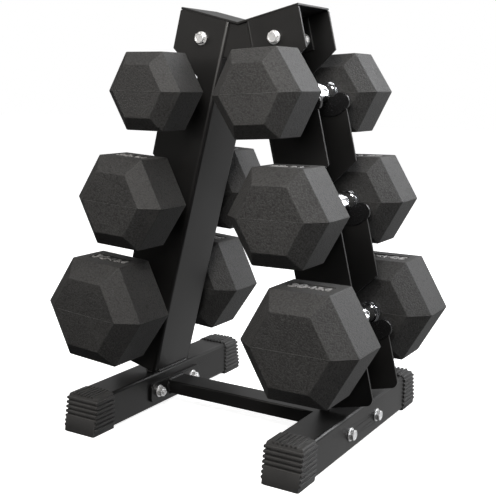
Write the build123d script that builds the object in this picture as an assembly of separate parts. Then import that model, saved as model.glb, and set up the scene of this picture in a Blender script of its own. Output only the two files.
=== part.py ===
from build123d import *
import math
import os

# A three-tier A-frame dumbbell rack with six hexagonal dumbbells.
# Millimetres. X runs across the rack, Y along the dumbbell handles, Z up from the floor.
# The origin is on the floor, midway between the feet. Half of the rack is drawn on the +X side
# and mirrored.

# ---- Feet -------------------------------------------------------------------------------------
FOOT_X = 157.0            # middle of each foot tube from the middle of the rack
TUBE_SIZE = 50.0          # square foot tube
TUBE_WALL = 2.0
TUBE_CORNER = 4.0
CAP_WALL = 2.5            # end cap sleeve around the tube
CAP_GAP = 0.3             # play between a sleeve and the tube in it
CAP_LENGTH = 36.0
CAP_CORNER = 4.0
CAP_END_WALL = 4.0
CAP_FLARE = 9.0           # how far the bottom of the end face stands out beyond the top
FOOT_LENGTH = 361.0       # over both caps, at the top
RIB_PITCH = 6.2
RIB_GROOVE_WIDTH = 2.2
RIB_GROOVE_DEPTH = 1.2
TOP_RIB_GROOVES = 7
SIDE_RIB_GROOVES = 8
LOWEST_RIB_Z = 6.0
PLAIN_END_RIBS = 4        # lowest side grooves that don't run across the end face

# ---- Crossbar ---------------------------------------------------------------------------------
BAR_WIDTH = 40.0
BAR_HEIGHT = 20.0
BAR_WALL = 1.5
BAR_CORNER = 2.5
BAR_Z = 26.0              # middle of the crossbar and of its bolts above the floor
PLATE_THICKNESS = 4.0
PLATE_WIDTH = 124.0
PLATE_HEIGHT = 28.0
PLATE_CORNER = 6.0
WELD_LEG = 2.5

# ---- Uprights ---------------------------------------------------------------------------------
LEAN = 13.8               # degrees from the vertical
SHEET = 3.0
CHANNEL_WIDTH = 88.0      # over both flanges, along Y
FLANGE_DEPTH = 80.0       # from the back of the web to the open edge
BEND_RADIUS = 5.0
UPRIGHT_LENGTH = 518.0
TOP_HALF_GAP = 12.0       # from the middle of the rack to the back of the web, at the top
FOOT_CORNER_RADIUS = 10.0
TOP_CORNER_RADIUS = 3.0
WEB_WELD_LEG = 6.0
WEDGE_WELD_START = 5.0    # weld between a flange's lower end and the foot, from the web back
WEDGE_WELD_END = 16.0

# ---- Notches and saddles ----------------------------------------------------------------------
TIER_NAMES = ["bottom", "middle", "top"]
TIER_HEIGHTS = [104.5, 262.0, 412.5]     # handle heights along an upright, from its lower end
TIER_HOOK_DROPS = [4.0, 0.0, 0.0]        # the lowest hooks stand a little lower
LIFT_ANGLES = [29.5, 42.0, 43.0]         # degrees above the horizontal in which handles leave
HANDLE_OUT = 48.5         # handle axis from the back of the web
NOTCH_RADIUS = 16.5
NOTCH_MOUTH_RISE = 52.5   # upper corner of the mouth above the handle axis
NOTCH_SLOPE = 30.4        # degrees, fall of the upper edge from the mouth inwards
HOOK_TOP = -10.5          # top of the steel hook below the handle axis
HOOK_ROUND = 5.0
SADDLE_SIDE = 1.8         # saddle wall on each face of the flange
SADDLE_GAP = 0.3
SEAT_START = -1.0         # inner end of the seat, above the handle axis
NOSE_RADIUS = 12.5
NOSE_OUT = 25.5           # nose centre outwards from the handle axis
NOSE_DOWN = 16.5
NOSE_UNDER_ANGLE = -50.0  # where the nose runs into the straight underside
TAIL_OUT = 21.5           # lower end of the underside
TAIL_BELOW_NOSE = 15.5
BELLY_DOWN = 31.0         # lowest point under the handle
HEEL_PAST_NOTCH = 1.5
HEEL_DOWN = 14.0

# ---- Top connector ----------------------------------------------------------------------------
SKIRT_DEPTH = 46.0
SKIRT_REACH = 50.0        # end of the skirts from the back of the web
WEB_RELIEF_PLAY = 2.0     # the webs end this far below the skirts
TOP_BOLT_OUT = 38.0
TOP_BOLT_DOWN = 30.0

# ---- Fasteners, M8 ----------------------------------------------------------------------------
BOLT_RADIUS = 4.0
HOLE_RADIUS = 4.3
HEX_ACROSS_FLATS = 13.0
HEX_CROWN_FLAT = 6.4      # radius of the flat middle of a head or nut
HEX_CROWN_SLOPE = 30.0    # degrees by which the outer corners are turned down
HEAD_THICKNESS = 5.5
NUT_THICKNESS = 6.5
WASHER_RADIUS = 9.0
WASHER_THICKNESS = 1.6
BOLT_END = 3.0
BOLT_END_CHAMFER = 0.8
FOOT_BOLT_Y = 43.0
FOOT_BOLT_TURN = 12.0     # degrees at which the hexagons were left
TOP_BOLT_TURN = 15.0

# ---- Dumbbells --------------------------------------------------------------------------------
# For each side, from the bottom tier up: across flats, length of the full hexagon, and the
# degrees by which the dumbbell lies turned about its handle.
HEAD_FLATS = {"left": [140.0, 121.0, 100.5], "right": [140.0, 121.0, 108.0]}
HEAD_PRISMS = {"left": [63.0, 56.5, 50.5], "right": [63.0, 56.5, 53.6]}
ROLLS = {"left": [-4.0, -3.0, 0.0], "right": [0.5, 1.2, 3.6]}
GRIP_LENGTH = 133.0       # bare handle between the heads
END_SCALE = 0.67          # end face hexagon to full hexagon
HEAD_EDGE_RADIUS = 2.5
NECK_RADIUS = 13.0
GRIP_RADIUS = 15.5
NECK_START = 34.0         # end of the swelling, from the middle of the grip
COLLAR_RADIUS = 16.0      # polished collar against each head
COLLAR_LENGTH = 7.3
RING_RADIUS = 15.1        # slim ring inwards of the collar
RING_LENGTH = 2.6
RING_GAP = 1.8
COLLAR_CHAMFER = 0.8
CORE_SCALE = 0.7          # iron core to rubber head, across flats
CORE_COVER = 9.0          # rubber over the ends of the core
CORE_BEVEL = 6.0
SPIGOT_RADIUS = 10.0      # handle end pressed into the core
SPIGOT_DEPTH = 40.0
SPIGOT_PLAY = 1.0         # air between the end of the spigot and the bottom of its hole
PANEL_LENGTH_SHARE = 0.42     # recessed panel for the weight mark on the top flat, to flats
PANEL_WIDTH_SHARE = 0.19
PANEL_DEPTH = 1.2
PANEL_CORNER = 3.0

# ---- Worked out -------------------------------------------------------------------------------
TUBE_BOTTOM = CAP_WALL
TUBE_TOP = TUBE_BOTTOM + TUBE_SIZE
CAP_SIZE = TUBE_SIZE + 2 * CAP_WALL
TUBE_INNER_X = FOOT_X - TUBE_SIZE / 2
TUBE_OUTER_X = FOOT_X + TUBE_SIZE / 2
LEAN_SIN = math.sin(math.radians(LEAN))
LEAN_COS = math.cos(math.radians(LEAN))
UPRIGHT_X = TOP_HALF_GAP + UPRIGHT_LENGTH * LEAN_SIN
UPRIGHT_FRAME = Location((UPRIGHT_X, 0, TUBE_TOP), (0, -LEAN, 0))
FLANGE_Y = (CHANNEL_WIDTH - SHEET) / 2


def save(shape, name):
    """Write one node."""
    export_step(shape, "parts/" + name + ".step")


def mirrored(shape):
    """The same piece on the other side of the rack."""
    return mirror(shape, about=Plane.YZ)


def both_ends(shape):
    """The piece and its mirror image front to back."""
    return [shape, mirror(shape, about=Plane.XZ)]


def group(solids):
    """Separate solids kept in one node."""
    return Compound(children=solids)


def flat_outline(points):
    """A face in the XZ plane from (x, z) corners."""
    return make_face(Polyline(*[(x, 0, z) for x, z in points], close=True))


def plate_y(face, thickness, y_middle):
    """An XZ face given a thickness along Y about y_middle."""
    return Pos(0, y_middle, 0) * extrude(face, amount=thickness / 2, dir=(0, 1, 0), both=True)


# ---- Feet and caps ----------------------------------------------------------------------------
def tube(width, height, wall, corner, length):
    """A rounded rectangular tube along Z, centred, from z = 0."""
    outer = RectangleRounded(width, height, corner)
    inner = RectangleRounded(width - 2 * wall, height - 2 * wall, corner - wall / 2)
    return extrude(outer - inner, amount=length)


def foot_bolt_holes():
    holes = []
    for y in (-FOOT_BOLT_Y, FOOT_BOLT_Y):
        holes.append(Pos(FOOT_X, y, BAR_Z) * Rot(0, 90, 0) * Cylinder(HOLE_RADIUS, 2 * TUBE_SIZE))
    return holes


def foot_tube():
    length = FOOT_LENGTH - 2 * CAP_END_WALL
    body = tube(TUBE_SIZE, TUBE_SIZE, TUBE_WALL, TUBE_CORNER, length)
    body = Pos(FOOT_X, length / 2, TUBE_BOTTOM + TUBE_SIZE / 2) * Rot(90, 0, 0) * body
    for hole in foot_bolt_holes():
        body -= hole
    return body


def foot_cap():
    """The rear cap of the +X foot, ribbed, with an end face that leans out at the bottom."""
    end_y = FOOT_LENGTH / 2
    start_y = end_y - CAP_LENGTH
    half = CAP_SIZE / 2
    side = [(start_y, 0), (end_y + CAP_FLARE, 0), (end_y, CAP_SIZE), (start_y, CAP_SIZE)]
    profile = make_face(Polyline(*[(0, y, z) for y, z in side], close=True))
    cap = extrude(profile, amount=half, dir=(1, 0, 0), both=True)
    long_edges = cap.edges().filter_by(Axis.Y)
    end_edges = cap.faces().sort_by(Axis.Y)[-1].edges().filter_by(Axis.X, reverse=True)
    cap = fillet(long_edges + end_edges, CAP_CORNER)
    for index in range(TOP_RIB_GROOVES):
        groove_x = (index - (TOP_RIB_GROOVES - 1) / 2) * RIB_PITCH
        groove = Box(RIB_GROOVE_WIDTH, 4 * CAP_LENGTH, 2 * RIB_GROOVE_DEPTH)
        cap -= Pos(groove_x, end_y, CAP_SIZE) * groove
    for index in range(SIDE_RIB_GROOVES):
        height = LOWEST_RIB_Z + index * RIB_PITCH
        for side_x in (-half, half):
            groove = Box(2 * RIB_GROOVE_DEPTH, 4 * CAP_LENGTH, RIB_GROOVE_WIDTH)
            cap -= Pos(side_x, end_y, height) * groove
        if index >= PLAIN_END_RIBS:
            face_y = end_y + CAP_FLARE * (1 - height / CAP_SIZE)
            groove = Box(2 * CAP_SIZE, 2 * RIB_GROOVE_DEPTH, RIB_GROOVE_WIDTH)
            cap -= Pos(0, face_y, height) * groove
    pocket_size = TUBE_SIZE + 2 * CAP_GAP
    pocket = extrude(RectangleRounded(pocket_size, pocket_size, TUBE_CORNER), amount=CAP_LENGTH)
    pocket_y = end_y - CAP_END_WALL
    cap -= Pos(0, pocket_y, TUBE_BOTTOM + TUBE_SIZE / 2) * Rot(90, 0, 0) * pocket
    return Pos(FOOT_X, 0, 0) * cap


# ---- Crossbar ---------------------------------------------------------------------------------
def crossbar_tube():
    length = 2 * (TUBE_INNER_X - PLATE_THICKNESS)
    body = tube(BAR_HEIGHT, BAR_WIDTH, BAR_WALL, BAR_CORNER, length)
    return Pos(-length / 2, 0, BAR_Z) * Rot(0, 90, 0) * body


def crossbar_plate():
    face = RectangleRounded(PLATE_HEIGHT, PLATE_WIDTH, PLATE_CORNER)
    plate = extrude(face, amount=PLATE_THICKNESS)
    plate = Pos(TUBE_INNER_X - PLATE_THICKNESS, 0, BAR_Z) * Rot(0, 90, 0) * plate
    for hole in foot_bolt_holes():
        plate -= hole
    return plate


def crossbar_welds():
    """Four fillet beads between the crossbar and one end plate."""
    face_x = TUBE_INNER_X - PLATE_THICKNESS
    bead = flat_outline([(face_x, 0), (face_x - WELD_LEG, 0), (face_x, WELD_LEG)])
    long_bead = plate_y(bead, BAR_WIDTH - 2 * BAR_CORNER, 0)
    short_bead = plate_y(bead, BAR_HEIGHT - 2 * BAR_CORNER, 0)
    top = Pos(0, 0, BAR_Z + BAR_HEIGHT / 2) * long_bead
    side = Pos(0, BAR_WIDTH / 2, BAR_Z) * Rot(-90, 0, 0) * short_bead
    bottom = mirror(top, about=Plane.XY.offset(BAR_Z))
    return [top, bottom] + both_ends(side)


# ---- Uprights ---------------------------------------------------------------------------------
def channel():
    """The plain channel along local Z, its web back at local x = 0, open towards local +X."""
    outer = Pos(FLANGE_DEPTH / 2, 0) * Rectangle(FLANGE_DEPTH, CHANNEL_WIDTH)
    outer = fillet(outer.vertices().group_by(Axis.X)[0], BEND_RADIUS)
    hollow_depth = FLANGE_DEPTH
    hollow = Pos(SHEET + hollow_depth / 2, 0) * Rectangle(hollow_depth, CHANNEL_WIDTH - 2 * SHEET)
    hollow = fillet(hollow.vertices().group_by(Axis.X)[0], BEND_RADIUS - SHEET)
    return extrude(outer - hollow, amount=UPRIGHT_LENGTH)


def notch_face(hook_drop, shrink):
    """A notch about the handle axis in the local XZ plane, open past the flange edge."""
    slope = math.tan(math.radians(NOTCH_SLOPE))
    edge = FLANGE_DEPTH - HANDLE_OUT
    past = edge + 2 * HOOK_ROUND
    back = -NOTCH_RADIUS + shrink
    rise = NOTCH_MOUTH_RISE - shrink
    hook = HOOK_TOP - hook_drop + shrink
    seat = make_face(Edge.make_circle(NOTCH_RADIUS - shrink, Plane.XZ))
    mouth = flat_outline([
        (back, 0),
        (back, rise - slope * (edge - back)),
        (past, rise + slope * (past - edge)),
        (past, hook),
        (0, hook),
    ])
    # The steel hook ends in a rounded corner.
    corner = flat_outline([
        (edge - HOOK_ROUND, hook),
        (past, hook),
        (past, hook - HOOK_ROUND),
        (edge - HOOK_ROUND, hook - HOOK_ROUND),
    ])
    disc = make_face(Edge.make_circle(HOOK_ROUND, Plane.XZ))
    corner -= Pos(edge - HOOK_ROUND, 0, hook - HOOK_ROUND) * disc
    return seat + mouth + corner


def saddle_outline(tier):
    """The saddle about the handle axis: a seat for the handle and a round nose over the hook."""
    hook_drop = TIER_HOOK_DROPS[tier]
    seat_radius = NECK_RADIUS + SADDLE_GAP
    nose_z = -NOSE_DOWN - hook_drop
    # The lip runs beside the path of the handle as it leaves.
    path_angle = math.radians(LIFT_ANGLES[tier] - LEAN)
    away = (math.sin(path_angle), -math.cos(path_angle))
    seat_start = (-seat_radius, 0, SEAT_START)
    seat_middle = (-seat_radius * math.sin(path_angle), 0, -seat_radius * math.cos(path_angle))
    seat_end = (seat_radius * away[0], 0, seat_radius * away[1])
    nose_top = (NOSE_OUT - NOSE_RADIUS * away[0], 0, nose_z - NOSE_RADIUS * away[1])
    under_angle = math.radians(NOSE_UNDER_ANGLE)
    nose_under = (
        NOSE_OUT + NOSE_RADIUS * math.cos(under_angle),
        0,
        nose_z + NOSE_RADIUS * math.sin(under_angle),
    )
    tail = (TAIL_OUT, 0, nose_z - TAIL_BELOW_NOSE)
    heel = (-NOTCH_RADIUS - HEEL_PAST_NOTCH, 0, -HEEL_DOWN)
    lines = [
        ThreePointArc(seat_start, seat_middle, seat_end),
        Line(seat_end, nose_top),
        ThreePointArc(nose_top, (NOSE_OUT + NOSE_RADIUS, 0, nose_z), nose_under),
        Line(nose_under, tail),
        ThreePointArc(tail, (0, 0, -BELLY_DOWN), heel),
        Line(heel, seat_start),
    ]
    return make_face(lines)


def tier_place(tier):
    return Pos(HANDLE_OUT, 0, TIER_HEIGHTS[tier])


def upright():
    body = channel()
    for tier, hook_drop in enumerate(TIER_HOOK_DROPS):
        body -= tier_place(tier) * plate_y(notch_face(hook_drop, 0), 2 * CHANNEL_WIDTH, 0)
    # The web stops short at the top to let the connector's skirts pass.
    relief_depth = SKIRT_DEPTH + WEB_RELIEF_PLAY
    relief = Box(4 * SHEET, CHANNEL_WIDTH - 2 * SHEET, 2 * relief_depth)
    body -= Pos(0, 0, UPRIGHT_LENGTH) * relief
    for y in (-FLANGE_Y, FLANGE_Y):
        hole = Rot(90, 0, 0) * Cylinder(HOLE_RADIUS, 4 * SHEET)
        body -= Pos(TOP_BOLT_OUT, y, UPRIGHT_LENGTH - TOP_BOLT_DOWN) * hole
    for height, radius in ((0, FOOT_CORNER_RADIUS), (UPRIGHT_LENGTH, TOP_CORNER_RADIUS)):
        outer_corners = body.edges().filter_by(Axis.Y).group_by(Axis.X)[-1]
        corners = outer_corners.filter_by_position(Axis.Z, height - 1, height + 1)
        body = fillet(corners, radius)
    return UPRIGHT_FRAME * body


def upright_welds():
    """Weld metal between the lower end of an upright and the top of its foot."""
    inner_x = UPRIGHT_X + SHEET * LEAN_COS
    inner_z = TUBE_TOP + SHEET * LEAN_SIN
    web_bead = flat_outline([
        (inner_x, TUBE_TOP),
        (inner_x + WEB_WELD_LEG, TUBE_TOP),
        (inner_x - WEB_WELD_LEG * LEAN_SIN, inner_z + WEB_WELD_LEG * LEAN_COS),
        (inner_x, inner_z),
    ])
    beads = [plate_y(web_bead, CHANNEL_WIDTH - 4 * BEND_RADIUS, 0)]
    wedge = flat_outline([
        (UPRIGHT_X + WEDGE_WELD_START * LEAN_COS, TUBE_TOP),
        (UPRIGHT_X + WEDGE_WELD_END * LEAN_COS, TUBE_TOP),
        (UPRIGHT_X + WEDGE_WELD_END * LEAN_COS, TUBE_TOP + WEDGE_WELD_END * LEAN_SIN),
        (UPRIGHT_X + WEDGE_WELD_START * LEAN_COS, TUBE_TOP + WEDGE_WELD_START * LEAN_SIN),
    ])
    return beads + both_ends(plate_y(wedge, 2 * SHEET, FLANGE_Y))


def saddles(tier):
    """The front and rear saddles of one tier on the +X upright."""
    hook_drop = TIER_HOOK_DROPS[tier]
    outline = saddle_outline(tier)
    edge = FLANGE_DEPTH - HANDLE_OUT + SADDLE_GAP
    cover = Rectangle(FLANGE_DEPTH, 2 * FLANGE_DEPTH).rotate(Axis.X, 90)
    beyond_edge = Pos(edge + FLANGE_DEPTH / 2, 0, 0) * cover
    slot_face = outline - notch_face(hook_drop, SADDLE_GAP) - beyond_edge
    pieces = []
    for y in (-FLANGE_Y, FLANGE_Y):
        piece = plate_y(outline, SHEET + 2 * SADDLE_SIDE, y) - plate_y(slot_face, SHEET, y)
        pieces.append(UPRIGHT_FRAME * tier_place(tier) * piece)
    return pieces


# ---- Top connector ----------------------------------------------------------------------------
def on_upright(out, up):
    """Rack (x, z) of a point given outwards from the web back and up from an upright's foot."""
    x = UPRIGHT_X + out * LEAN_COS - up * LEAN_SIN
    z = TUBE_TOP + out * LEAN_SIN + up * LEAN_COS
    return (x, z)


def vee(low_up, high_up, reach):
    """A V-shaped strip across both uprights, between two heights along them."""
    corners = []
    for up in (low_up, high_up):
        x, z = on_upright(0, up)
        corners.append([on_upright(reach, up), (0, z - x * LEAN_SIN / LEAN_COS)])
    low, high = corners
    right = [low[1], low[0], high[0], high[1]]
    left = [(-high[0][0], high[0][1]), (-low[0][0], low[0][1])]
    return flat_outline(right + left)


def top_connector():
    top = plate_y(vee(UPRIGHT_LENGTH, UPRIGHT_LENGTH + SHEET, FLANGE_DEPTH), CHANNEL_WIDTH, 0)
    skirt_face = vee(UPRIGHT_LENGTH - SKIRT_DEPTH, UPRIGHT_LENGTH, SKIRT_REACH)
    body = top
    for y in (-FLANGE_Y + SHEET, FLANGE_Y - SHEET):
        body += plate_y(skirt_face, SHEET, y)
    bolt_x, bolt_z = on_upright(TOP_BOLT_OUT, UPRIGHT_LENGTH - TOP_BOLT_DOWN)
    for x in (-bolt_x, bolt_x):
        body -= Pos(x, 0, bolt_z) * Rot(90, 0, 0) * Cylinder(HOLE_RADIUS, 2 * CHANNEL_WIDTH)
    return body


# ---- Fasteners --------------------------------------------------------------------------------
def hexagon(across_flats):
    return RegularPolygon(across_flats / 2, 6, major_radius=False)


def hex_block(thickness):
    """A hexagonal block along Z with its outer corners turned down."""
    block = extrude(hexagon(HEX_ACROSS_FLATS), amount=thickness)
    base_radius = HEX_CROWN_FLAT + thickness / math.tan(math.radians(HEX_CROWN_SLOPE))
    crown = Pos(0, 0, thickness / 2) * Cone(base_radius, HEX_CROWN_FLAT, thickness)
    return block & crown


def bolt(grip):
    """A hexagon bolt: head above z = 0, shank down through grip, a washer and a nut."""
    shank = grip + 2 * WASHER_THICKNESS + NUT_THICKNESS + BOLT_END
    head = Pos(0, 0, WASHER_THICKNESS) * hex_block(HEAD_THICKNESS)
    pin = Pos(0, 0, WASHER_THICKNESS - shank / 2) * Cylinder(BOLT_RADIUS, shank)
    return head + chamfer(pin.edges().sort_by(Axis.Z)[0], BOLT_END_CHAMFER)


def washer(bottom_z):
    ring = Circle(WASHER_RADIUS) - Circle(HOLE_RADIUS)
    return Pos(0, 0, bottom_z) * extrude(ring, amount=WASHER_THICKNESS)


def nut(grip):
    block = hex_block(NUT_THICKNESS) - Cylinder(BOLT_RADIUS, 4 * NUT_THICKNESS)
    return Pos(0, 0, -grip - WASHER_THICKNESS) * Rot(180, 0, 0) * block


def bolted(grip, places):
    """Bolts, washers and nuts at each place, every one with its head on local +Z."""
    bolts = [place * bolt(grip) for place in places]
    washers = [place * washer(z) for place in places for z in (0, -grip - WASHER_THICKNESS)]
    nuts = [place * nut(grip) for place in places]
    return bolts, washers, nuts


def foot_bolt_places():
    places = []
    for side in (-1, 1):
        for y in (-FOOT_BOLT_Y, FOOT_BOLT_Y):
            turn = Rot(0, 90 * side, 0) * Rot(0, 0, FOOT_BOLT_TURN * side)
            places.append(Pos(side * TUBE_OUTER_X, y, BAR_Z) * turn)
    return places


def top_bolt_places():
    places = []
    bolt_x, bolt_z = on_upright(TOP_BOLT_OUT, UPRIGHT_LENGTH - TOP_BOLT_DOWN)
    for side in (-1, 1):
        for end in (-1, 1):
            turn = Rot(-90 * end, 0, 0) * Rot(0, 0, TOP_BOLT_TURN)
            places.append(Pos(side * bolt_x, end * CHANNEL_WIDTH / 2, bolt_z) * turn)
    return places


# ---- Dumbbells --------------------------------------------------------------------------------
def bevel_depth(flats):
    """Both ends of a head are bevelled at 45 degrees down to the end face."""
    return flats / 2 * (1 - END_SCALE)


def head_blank(flats, prism_length):
    """A hexagonal head along +Z from the grip end, flats up and down, bevelled at both ends."""
    full = hexagon(flats)
    prism = extrude(full, amount=prism_length)
    cone = extrude(full, amount=bevel_depth(flats), taper=45)
    blank = prism + Pos(0, 0, prism_length) * cone + Rot(180, 0, 0) * cone
    return Pos(0, 0, bevel_depth(flats)) * blank


def core_block(flats, length):
    """The outside of the iron core of a head, in its place inside the rubber."""
    block = extrude(hexagon(flats * CORE_SCALE), amount=length - 2 * CORE_COVER)
    block = chamfer(block.edges().filter_by(Axis.Z, reverse=True), CORE_BEVEL)
    return Pos(0, 0, CORE_COVER) * block


def core(flats, length):
    """The iron core with the hole that takes the handle's end."""
    hole = Cylinder(SPIGOT_RADIUS, 2 * SPIGOT_DEPTH)
    return core_block(flats, length) - Pos(0, 0, CORE_COVER) * hole


def rubber_head(flats, prism_length):
    """The rubber skin of a head, filled by its core, with a shallow panel on the top flat."""
    blank = head_blank(flats, prism_length)
    length = prism_length + 2 * bevel_depth(flats)
    blank = fillet(blank.edges(), HEAD_EDGE_RADIUS)
    blank -= core_block(flats, length)
    blank -= Cylinder(NECK_RADIUS + SADDLE_GAP, 2 * CORE_COVER)
    panel_face = RectangleRounded(
        flats * PANEL_LENGTH_SHARE,
        flats * PANEL_WIDTH_SHARE,
        PANEL_CORNER,
    )
    panel = extrude(panel_face, amount=-PANEL_DEPTH)
    return blank - Pos(0, flats / 2, length / 2) * Rot(-90, 0, 0) * panel


def handle_half_outline():
    """Upper half of the handle's outline: (radius, height) corners from the neck outwards."""
    half = GRIP_LENGTH / 2
    collar_start = half - COLLAR_LENGTH
    ring_end = collar_start - RING_GAP
    spigot_end = half + CORE_COVER + SPIGOT_DEPTH - SPIGOT_PLAY
    outline = [(NECK_RADIUS, NECK_START)]
    for radius, start, end in (
        (RING_RADIUS, ring_end - RING_LENGTH, ring_end),
        (COLLAR_RADIUS, collar_start, half),
    ):
        outline += [
            (NECK_RADIUS, start),
            (radius - COLLAR_CHAMFER, start),
            (radius, start + COLLAR_CHAMFER),
            (radius, end - COLLAR_CHAMFER),
            (radius - COLLAR_CHAMFER, end),
            (NECK_RADIUS, end),
        ]
    return outline + [
        (NECK_RADIUS, half + CORE_COVER),
        (SPIGOT_RADIUS, half + CORE_COVER),
        (SPIGOT_RADIUS, spigot_end),
        (0, spigot_end),
    ]


def handle():
    """The chromed handle along Z: swelling grip, necks, rings, collars at the heads, spigots."""
    upper = [(radius, 0, height) for radius, height in handle_half_outline()]
    lower = [(radius, 0, -height) for radius, _, height in upper]
    swelling = ThreePointArc(lower[0], (GRIP_RADIUS, 0, 0), upper[0])
    axis_line = Line(upper[-1], lower[-1])
    return revolve(make_face([swelling, Polyline(*upper), axis_line, Polyline(*lower)]), Axis.Z)


def dumbbell_place(side_name, tier):
    """Where a dumbbell lies: its handle along Y, its rear head towards +Y, local +Y up."""
    x, z = on_upright(HANDLE_OUT, TIER_HEIGHTS[tier])
    side = 1 if side_name == "right" else -1
    return Pos(side * x, 0, z) * Rot(0, -ROLLS[side_name][tier], 0) * Rot(-90, 0, 0)


def save_dumbbell(side_name, tier):
    """A dumbbell's nodes: two rubber heads, their cores and the handle."""
    place = dumbbell_place(side_name, tier)
    name = side_name + "_" + TIER_NAMES[tier] + "_"
    flats = HEAD_FLATS[side_name][tier]
    prism_length = HEAD_PRISMS[side_name][tier]
    rear = place * Rot(0, 0, 180) * Pos(0, 0, GRIP_LENGTH / 2)
    front = place * Rot(180, 0, 0) * Pos(0, 0, GRIP_LENGTH / 2)
    head = rubber_head(flats, prism_length)
    iron = core(flats, prism_length + 2 * bevel_depth(flats))
    save(rear * head, name + "head_rear")
    save(front * head, name + "head_front")
    save(group([rear * iron, front * iron]), name + "cores")
    save(place * handle(), name + "handle")


# ---- Write the nodes --------------------------------------------------------------------------
os.makedirs("parts", exist_ok=True)

right_tube = foot_tube()
save(right_tube, "right_foot_tube")
save(mirrored(right_tube), "left_foot_tube")

rear_cap, front_cap = both_ends(foot_cap())
save(rear_cap, "right_rear_cap")
save(front_cap, "right_front_cap")
save(mirrored(rear_cap), "left_rear_cap")
save(mirrored(front_cap), "left_front_cap")

save(crossbar_tube(), "crossbar_tube")
right_plate = crossbar_plate()
save(right_plate, "right_crossbar_plate")
save(mirrored(right_plate), "left_crossbar_plate")
beads = crossbar_welds()
save(group(beads + [mirrored(bead) for bead in beads]), "crossbar_welds")

right_upright = upright()
save(right_upright, "right_upright")
save(mirrored(right_upright), "left_upright")
beads = upright_welds()
save(group(beads), "right_upright_welds")
save(group([mirrored(bead) for bead in beads]), "left_upright_welds")
save(top_connector(), "top_connector")

for tier_index, tier_name in enumerate(TIER_NAMES):
    pair = saddles(tier_index)
    save(group(pair), "right_" + tier_name + "_saddles")
    save(group([mirrored(piece) for piece in pair]), "left_" + tier_name + "_saddles")
    save_dumbbell("left", tier_index)
    save_dumbbell("right", tier_index)

foot_grip = TUBE_SIZE + PLATE_THICKNESS
top_grip = 2 * SHEET
for set_name, (bolts, washers, nuts) in {
    "foot": bolted(foot_grip, foot_bolt_places()),
    "top": bolted(top_grip, top_bolt_places()),
}.items():
    save(group(bolts), set_name + "_bolts")
    save(group(washers), set_name + "_washers")
    save(group(nuts), set_name + "_nuts")
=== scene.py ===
import math

import bmesh
import bpy
from mathutils import Matrix, Vector, noise
from mathutils.bvhtree import BVHTree


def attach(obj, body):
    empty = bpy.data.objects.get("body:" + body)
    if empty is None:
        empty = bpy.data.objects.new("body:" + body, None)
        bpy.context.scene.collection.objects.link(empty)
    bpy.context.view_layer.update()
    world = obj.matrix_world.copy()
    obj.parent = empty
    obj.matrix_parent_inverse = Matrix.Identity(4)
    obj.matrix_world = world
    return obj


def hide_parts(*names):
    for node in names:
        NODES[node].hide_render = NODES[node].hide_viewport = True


# A three-tier A-frame dumbbell rack with six hexagonal rubber dumbbells.
# Metres. X runs across the rack, Y along the dumbbell handles, Z up from the floor.

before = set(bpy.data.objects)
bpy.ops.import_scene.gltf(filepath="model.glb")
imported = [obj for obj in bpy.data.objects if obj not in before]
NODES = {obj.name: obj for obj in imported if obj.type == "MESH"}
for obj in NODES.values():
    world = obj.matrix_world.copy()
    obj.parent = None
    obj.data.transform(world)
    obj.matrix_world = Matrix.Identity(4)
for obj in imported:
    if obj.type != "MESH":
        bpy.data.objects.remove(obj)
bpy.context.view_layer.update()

MM = 0.001

# ---- Sizes shared with the CAD part -----------------------------------------------------------
SIDES = {"left": -1, "right": 1}
TIERS = ["bottom", "middle", "top"]
FOOT_X = 157.0 * MM
TUBE_HALF = 25.0 * MM
TUBE_TOP = 52.5 * MM
BAR_Z = 26.0 * MM
BAR_WIDTH = 40.0 * MM
BAR_HEIGHT = 20.0 * MM
PLATE_THICKNESS = 4.0 * MM
LEAN = math.radians(13.8)
UPRIGHT_LENGTH = 518.0 * MM
UPRIGHT_X = 12.0 * MM + UPRIGHT_LENGTH * math.sin(LEAN)
SHEET = 3.0 * MM
CHANNEL_HALF = 44.0 * MM
FLANGE_Y = 42.5 * MM
HANDLE_OUT = 48.5 * MM
TIER_HEIGHTS = [104.5 * MM, 262.0 * MM, 412.5 * MM]
# The heads, from the bottom tier up, in millimetres and degrees.
HEAD_FLATS = {"left": [140.0, 121.0, 100.5], "right": [140.0, 121.0, 108.0]}
HEAD_PRISMS = {"left": [63.0, 56.5, 50.5], "right": [63.0, 56.5, 53.6]}
ROLLS = {"left": [-4.0, -3.0, 0.0], "right": [0.5, 1.2, 3.6]}
END_SCALE = 0.67
GRIP_HALF = 66.5 * MM
GRIP_RADIUS = 15.5 * MM
NECK_RADIUS = 13.0 * MM
NECK_START = 34.0 * MM
PANEL_DEPTH = 1.2 * MM
TOP_BOLT_OUT = 38.0 * MM
TOP_BOLT_DOWN = 30.0 * MM
FOOT_BOLT_Y = 43.0 * MM
BOLT_RADIUS = 4.0 * MM
HEX_FLATS = 13.0 * MM
HEAD_THICKNESS = 5.5 * MM
NUT_THICKNESS = 6.5 * MM
WASHER_RADIUS = 9.0 * MM
WASHER_THICKNESS = 1.6 * MM
BOLT_END = 3.0 * MM
FOOT_GRIP = 54.0 * MM
TOP_GRIP = 6.0 * MM
FOOT_BOLT_TURN = math.radians(12)
TOP_BOLT_TURN = math.radians(15)

# Weight marks: pounds and kilograms, as plain numerals.
MARKS = {"left": [("30", "13.6"), ("20", "9.1"), ("12", "5.4")],
         "right": [("30", "13.6"), ("20", "9.1"), ("15", "6.8")]}


# ---- Material building blocks -----------------------------------------------------------------
BEVEL_SAMPLES = 6
FACING_ON_EDGE = 0.90     # how far a rounded normal agrees with the true one on an edge
FACING_OFF_EDGE = 0.995   # and on an open surface


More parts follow.
